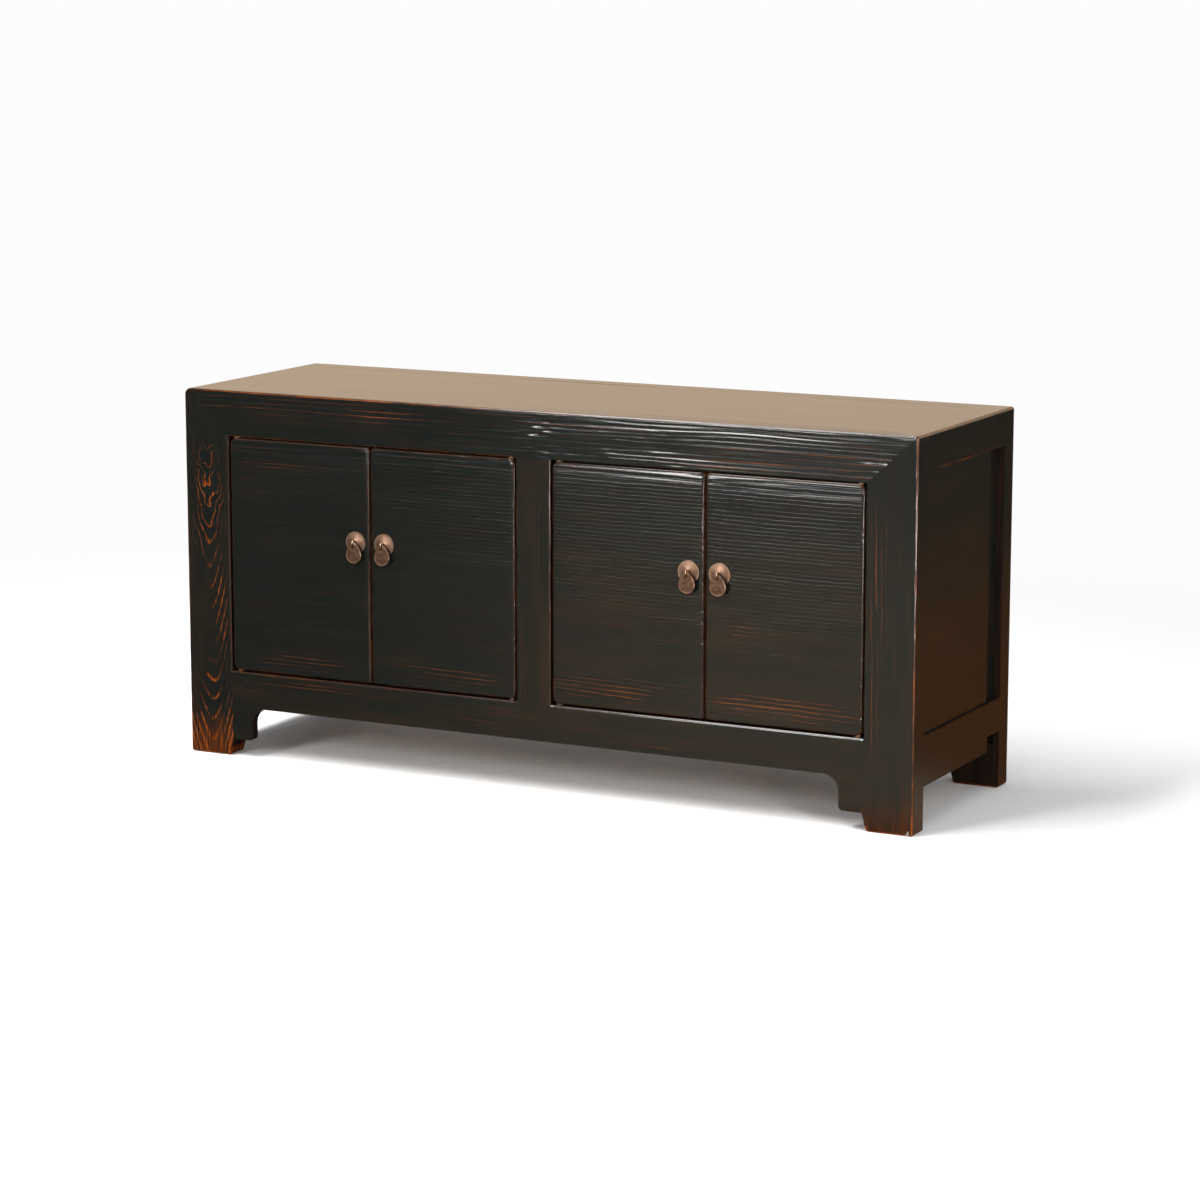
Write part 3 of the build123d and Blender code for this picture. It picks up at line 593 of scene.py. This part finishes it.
looks = {
    "front_left_post": {
        "pith": (-0.654, -0.172), "taper": -0.17, "wobble": 0.030, "streaks": 0.25, "warmth": 0.4,
        "rings": 0.95, "quiver": (0.30, 0.56, 0.030), "foot": 0.42, "footTop": 0.14,
        "edges": 0.75, "edgeZones": (((-0.611, 0, 0.4), (0.006, 0, 0), -0.5),),
        "zones": (((-0.655, 0, 0.545), (0.035, 0, 0.024), 0.75), ((-0.658, 0, 0.488), (0.028, 0, 0.030), 1.0),
                  ((-0.663, 0, 0.415), (0.028, 0, 0.055), 1.05), ((-0.633, 0, 0.445), (0.013, 0, 0.045), 0.8),
                  ((-0.634, 0, 0.285), (0.018, 0, 0.070), 1.2), ((-0.626, 0, 0.190), (0.012, 0, 0.055), 1.2),
                  ((-0.648, 0, 0.130), (0.021, 0, 0.036), 1.2), ((-0.655, 0, 0.045), (0.060, 0, 0.066), 1.3)),
    },
    "front_right_post": {
        "pith": (0.56, -0.150), "warmth": 0.35, "streaks": 0.35, "edges": 0.75, "dents": 0.5,
        "ridges": 0.15, "foot": 0.3, "footTop": 0.12,
        "edgeZones": (((0.611, 0, 0.4), (0.006, 0, 0), -0.6),),
        "zones": (((0.640, 0, 0.50), (0.018, 0, 0.12), 0.6), ((0.625, 0, 0.28), (0.012, 0, 0.16), 0.5)),
        "dentZones": (((0.66, 0, 0.61), (0.05, 0, 0.05), 1.0),),
    },
    "front_top_rail": {
        "pith": (-0.125, 0.50), "taper": 0.002, "wobble": 0.008, "warmth": 0.20, "streaks": 0.15, "rings": 1.2,
        "fineness": 0.62, "edges": 0.45, "edgesUp": 0.95, "wander": 0.25,
        "edgeZones": (((-0.45, 0, 0.66), (0.48, 0, 0.03), 0.4),),
        "dullZones": (((0.42, 0, 0.62), (0.36, 0, 0.09), 0.07),),
        "zones": (((-0.24, 0, 0.634), (0.32, 0, 0.018), 0.62), ((-0.62, 0, 0.64), (0.08, 0, 0.02), 0.4),
                  ((0.45, 0, 0.60), (0.30, 0, 0.04), 0.5)),
        "ridgeZones": (((0.30, 0, 0.62), (0.34, 0, 0.09), 0.75),),
        "dentZones": (((0.015, 0, 0.62), (0.045, 0, 0.040), 1.4), ((0.64, 0, 0.62), (0.05, 0, 0.04), 1.0)),
        "ridgeRub": 0.8, "crown": 0.0005, "crownReach": 0.030, "crownRipple": 0.0001, "crownFrom": (-0.10, 0.20),
    },
    "front_apron": {
        "pith": (-0.140, 0.02), "warmth": 0.4, "streaks": 0.25, "edges": 0.5, "wander": 0.12,
        "edgeZones": (((0.35, 0, 0), (0.45, 0, 0), -0.5),),
        "zones": (((-0.45, 0, 0.14), (0.12, 0, 0.015), 0.5), ((0.35, 0, 0.10), (0.25, 0, 0.03), 0.5),
                  ((-0.1, 0, 0.12), (0.15, 0, 0.02), 0.3)),
    },
    "front_centre_stile": {
        "pith": (0.09, -0.150), "warmth": 0.4, "streaks": 0.25, "zones": (((0.01, 0, 0.4), (0.03, 0, 0.15), 0.15),),
    },
    "left_outer_door_board": {
        "pith": (-0.12, 0.05), "warmth": 0.25, "crown": 0.0006, "streaks": 0.1, "edges": 0.35,
        "zones": (((-0.47, 0, 0.185), (0.12, 0, 0.018), 0.5), ((-0.50, 0, 0.53), (0.09, 0, 0.006), 0.6)),
    },
    "left_inner_door_board": {
        "pith": (-0.11, 0.05), "warmth": 0.3, "crown": 0.0006, "streaks": 0.1, "edges": 0.35,
        "zones": (((-0.17, 0, 0.185), (0.13, 0, 0.018), 0.6), ((-0.07, 0, 0.24), (0.02, 0, 0.003), 0.9)),
    },
    "right_inner_door_board": {
        "pith": (-0.12, 0.04), "warmth": 0.4, "crown": 0.0022, "streaks": 0.15, "edges": 0.35,
        "zones": (((0.14, 0, 0.190), (0.11, 0, 0.022), 0.7),),
    },
    "right_outer_door_board": {
        "pith": (-0.11, 0.05), "warmth": 0.4, "crown": 0.0026, "streaks": 0.2, "edges": 0.35,
        "ridgeZones": (((0.48, 0, 0.56), (0.2, 0, 0.03), 0.6),),
        "zones": (((0.47, 0, 0.195), (0.13, 0, 0.026), 0.95), ((0.40, 0, 0.31), (0.03, 0, 0.02), 0.7)),
    },
    "top_back_board": {"stains": (((-0.09, 0.180, 0), (0.14, 0.006, 0), 1.3),)},
    "back_top_rail": {"stains": (((-0.09, 0.180, 0), (0.14, 0.006, 0), 1.3),)},
    "right_top_rail": {"edges": 0.8, "lines": (((0.70, 0.0, 0.5965), (0.02, 0.17, 0.0016), 0.9),)},
    "right_side_panel": {"ridges": 0.02, "dents": 0.1, "edges": 0.3},
    "left_side_panel": {"ridges": 0.02, "dents": 0.1, "edges": 0.3},
}
grains = (      # the end of a node's name, and its grain's axis
    ("left_top_rail", 1), ("right_top_rail", 1), ("bottom_rail", 1), ("side_panel", 1),
    ("post", 2), ("stile", 2), ("", 0),
)


def makeRawEdge(name, grain, dark, light):      # thin stain over bare wood, on faces that don't show
    material, tree = newMaterial(name)
    axes = objectAxes(tree)
    scales = [7.0 if axis == grain else 120.0 for axis in range(3)]
    drawn = {axis: calc(tree, "MULTIPLY", axes[axis], scales[axis]) for axis in range(3)}
    spot = join(tree, "ShaderNodeCombineXYZ", drawn)
    cloud = join(tree, "ShaderNodeTexNoise", {"Vector": spot, "Scale": 1.0, "Detail": 6.0, "Roughness": 0.6})
    colour = mixColour(tree, between(tree, cloud, 0.30, 0.75), dark, light)
    bump = join(tree, "ShaderNodeBump", {"Height": cloud, "Distance": 0.0004, "Strength": 0.6})
    surface = join(tree, "ShaderNodeBsdfPrincipled", {
        "Base Color": colour, "Roughness": 0.65, "Specular IOR Level": 0.15, "Normal": bump,
    })
    join(tree, "ShaderNodeOutputMaterial", {"Surface": surface})
    return material


rawEdges = (      # the end of a node's name, and the dark and light of its hidden faces
    ("door_board", ("doorEdge", (0.050, 0.018, 0.0070, 1), (0.15, 0.062, 0.025, 1))),
    ("back_apron", ("bracketEdge", (0.085, 0.045, 0.022, 1), (0.50, 0.34, 0.21, 1))),
    # the case's hidden faces: a dark stain, made near-black to paint the shade in recesses, reveals and the side
    # channel
    ("", ("caseEdgeStainAndShade", (0.0050, 0.0026, 0.0017, 1), (0.020, 0.0080, 0.0040, 1))),
)
subparts = frame["record"]["subparts"]
bodyOf = {node: body for body, names in frame["record"]["behaviour"]["bodies"].items() for node in names}
lacquered = [entry["node"] for entry in subparts if entry["material_slot"] == "lacquer"]
for index, name in enumerate(lacquered):
    grain = next(axis for ending, axis in grains if name.endswith(ending))
    low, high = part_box(name)
    middle = [(low[axis] + high[axis]) / 2 for axis in range(3) if axis != grain]
    look = {**plainLook, "seed": index + 1, "pith": (middle[0] + 0.03, middle[1] - 0.06), **looks.get(name, {})}
    piece = wearPiece(name, grain, look)
    piece.data.materials.append(makeLacquer(name + "_lacquer", grain, look))
    title, dark, light = next(edge for ending, edge in rawEdges if name.endswith(ending))
    title += "XYZ"[grain]
    piece.data.materials.append(bpy.data.materials.get(title) or makeRawEdge(title, grain, dark, light))
    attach(piece, bodyOf[name])
    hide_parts(name)
print("lacquered pieces ready:", len(lacquered), "points:", sum(len(nodes[name].data.vertices) for name in lacquered))


wood = {
    "shade": (0.105, 0.058, 0.028, 1),
    "light": (0.30, 0.185, 0.098, 1),
    "line": (0.16, 0.085, 0.040, 1),      # late growth
    "grime": (0.045, 0.027, 0.016, 1),
    "ringSpacing": 0.0075,
    "ringHeight": 0.00012,
    "fibreHeight": 0.00018,
}


def makeBareWood(name, grain, seed):
    low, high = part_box(name)
    material, tree = newMaterial(name + "_wood")
    axes = objectAxes(tree)
    others = [axes[axis] for axis in range(3) if axis != grain]

    def streaky(alongScale, acrossScale, shift, detail):
        return drawnNoise(tree, axes, grain, (alongScale, acrossScale), shift + seed * 2.3, detail, 0.6)

    middle = [(low[axis] + high[axis]) / 2 for axis in range(3) if axis != grain]
    distance = fromPith(tree, others, (middle[0] + 0.02, middle[1] - 0.07))
    distance = calc(tree, "MULTIPLY_ADD", axes[grain], 0.03, distance)
    distance = calc(tree, "MULTIPLY_ADD", streaky(1.6, 8.0, 0.0, 2.0), 0.022, distance)
    phase = calc(tree, "FRACT", calc(tree, "DIVIDE", distance, wood["ringSpacing"]))
    ring = calc(tree, "MULTIPLY", between(tree, phase, 0.35, 0.88), between(tree, phase, 0.90, 1.0, 1.0, 0.0))
    fibre = streaky(9.0, 300.0, 4.0, 3.0)
    colour = mixColour(tree, between(tree, streaky(1.1, 7.0, 8.0, 3.0), 0.3, 0.7), wood["shade"], wood["light"])
    colour = mixColour(tree, calc(tree, "MULTIPLY", ring, 0.65), colour, wood["line"])
    grime = between(tree, streaky(5.0, 9.0, 15.0, 5.0), 0.52, 0.72, 0.0, 0.75)
    colour = mixColour(tree, grime, colour, wood["grime"])
    height = calc(tree, "MULTIPLY_ADD", ring, wood["ringHeight"], calc(tree, "MULTIPLY", fibre, wood["fibreHeight"]))
    bump = join(tree, "ShaderNodeBump", {"Height": height, "Distance": 1.0, "Strength": 0.8})
    surface = join(tree, "ShaderNodeBsdfPrincipled", {
        "Base Color": colour, "Roughness": between(tree, fibre, 0.3, 0.7, 0.82, 0.60), "Normal": bump,
    })
    join(tree, "ShaderNodeOutputMaterial", {"Surface": surface})
    return material


brass = {
    "dull": (0.125, 0.066, 0.044, 1),
    "worn": (0.40, 0.245, 0.170, 1),
    "bright": (0.80, 0.56, 0.40, 1),
    "roughness": (0.50, 0.32),
    "turnedLines": 5200.0,
    "lineHeight": 0.000006,
    "speckHeight": 0.00004,
    "plateRim": 0.0166,       # metres from the plate's middle
    "rimWidth": 0.0010,
    "dropRim": 0.0017,
    "dropDish": 0.00025,
    "dropSwell": 0.00030,
    "gridStep": 0.0008,
    "sharpFrom": 30,          # degrees
}


def makeBrass():
    material, tree = newMaterial("agedBrass")
    spot = join(tree, "ShaderNodeTexCoord", output=3)
    cloud = join(tree, "ShaderNodeTexNoise", {"Vector": spot, "Scale": 160.0, "Detail": 5.0, "Roughness": 0.6})
    speck = join(tree, "ShaderNodeTexNoise", {"Vector": spot, "Scale": 900.0, "Detail": 3.0})
    polish = join(tree, "ShaderNodeAttribute", output=2, attribute_name="polish")
    turned = join(tree, "ShaderNodeAttribute", output=2, attribute_name="turned")
    lines = calc(tree, "SINE", calc(tree, "MULTIPLY", turned, brass["turnedLines"]))
    wear = calc(tree, "MULTIPLY_ADD", calc(tree, "SUBTRACT", cloud, 0.5), 1.1, polish)
    colour = mixColour(tree, between(tree, wear, -0.25, 0.5), brass["dull"], brass["worn"])
    colour = mixColour(tree, between(tree, wear, 0.45, 1.1), colour, brass["bright"])
    roughness = between(tree, wear, -0.2, 1.0, *brass["roughness"])
    height = calc(tree, "MULTIPLY_ADD", speck, brass["speckHeight"], calc(tree, "MULTIPLY", lines, brass["lineHeight"]))
    bump = join(tree, "ShaderNodeBump", {"Height": height, "Distance": 1.0, "Strength": 0.6})
    surface = join(tree, "ShaderNodeBsdfPrincipled", {
        "Base Color": colour, "Roughness": roughness, "Metallic": 1.0, "Normal": bump,
    })
    join(tree, "ShaderNodeOutputMaterial", {"Surface": surface})
    return material


def brassCopy(name, kind):
    fine = bmesh.new()
    fine.from_mesh(nodes[name].data)
    bmesh.ops.remove_doubles(fine, verts=fine.verts, dist=1e-6)
    low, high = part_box(name)
    if kind == "pull":      # a fine grid on the flat front, to dish it
        bmesh.ops.dissolve_limit(fine, angle_limit=math.radians(relief["sameFace"]), verts=fine.verts, edges=fine.edges)
        front = [face for face in fine.faces if face.normal.y < -0.99]
        cutting = withCorners(front)
        rim = np.array([[vert.co[:] for vert in edge.verts] for edge in fine.edges
                        if sum(face in front for face in edge.link_faces) == 1])[:, :, ::2]
        for axis in (0, 2):
            count = int((high[axis] - low[axis]) / brass["gridStep"])
            middles = [low + (high - low) * index / count for index in range(1, count)]
            cutting = cutAcross(fine, cutting, axis, middles)
    mesh = meshOf(name + "_aged", fine, brass["sharpFrom"])
    points = np.array([vertex.co[:] for vertex in mesh.vertices])
    polish = np.full(len(points), 0.9)
    turned = np.zeros(len(points))
    if kind == "plate":
        turned = np.hypot(points[:, 0] - (low.x + high.x) / 2, points[:, 2] - (low.z + high.z) / 2)
        polish = 0.25 + 0.75 * smooth(turned, brass["plateRim"], brass["plateRim"] + brass["rimWidth"])
        polish -= 0.25 * smooth(-turned, -0.006, -0.003)      # dull round the staple
    if kind == "pull":
        onFront = points[:, 1] < low.y + 1e-5
        flat = points[:, None, ::2]
        run = rim[:, 1] - rim[:, 0]
        share = np.clip(((flat - rim[:, 0]) * run).sum(axis=2) / (run * run).sum(axis=1), 0, 1)
        gaps = np.linalg.norm(flat - rim[:, 0] - share[:, :, None] * run, axis=2).min(axis=1)
        dish = smooth(gaps, brass["dropRim"] * 0.4, brass["dropRim"]) * brass["dropDish"]
        dish -= smooth(gaps, brass["dropRim"], 0.011) * brass["dropSwell"]
        points[:, 1] += np.where(onFront, dish, 0)
        polish = np.where(onFront, -0.05 + 0.24 * smooth(-gaps, -brass["dropRim"], -brass["dropRim"] * 0.4), 0.10)
        mesh.vertices.foreach_set("co", points.astype(np.float32).ravel())
    for title, values in (("polish", polish), ("turned", turned)):
        mesh.attributes.new(title, "FLOAT", "POINT").data.foreach_set("value", values.astype(np.float32))
    mesh.materials.append(agedBrass)
    piece = bpy.data.objects.new(name + "_aged", mesh)
    scene.collection.objects.link(piece)
    return piece


agedBrass = makeBrass()
woodGrains = (      # as grains, for the bare wood
    ("top_batten", 1), ("door_battens", 2), ("pivot_pins", 2), ("floor_bearer", 1), ("floor_ledger", 1), ("", 0),
)
for index, entry in enumerate(subparts):
    name = entry["node"]
    if entry["material_slot"] == "hardware":
        kind = next((kind for kind in ("pull", "plate") if name.endswith(kind)), "staple")
        piece = brassCopy(name, kind)
        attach(piece, bodyOf[name])
        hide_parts(name)
    elif entry["material_slot"] == "bare_wood":
        grain = next(axis for ending, axis in woodGrains if name.endswith(ending))
        mesh = nodes[name].data
        mesh.materials.clear()
        mesh.materials.append(makeBareWood(name, grain, index + 1))
print("bare wood and brass ready")
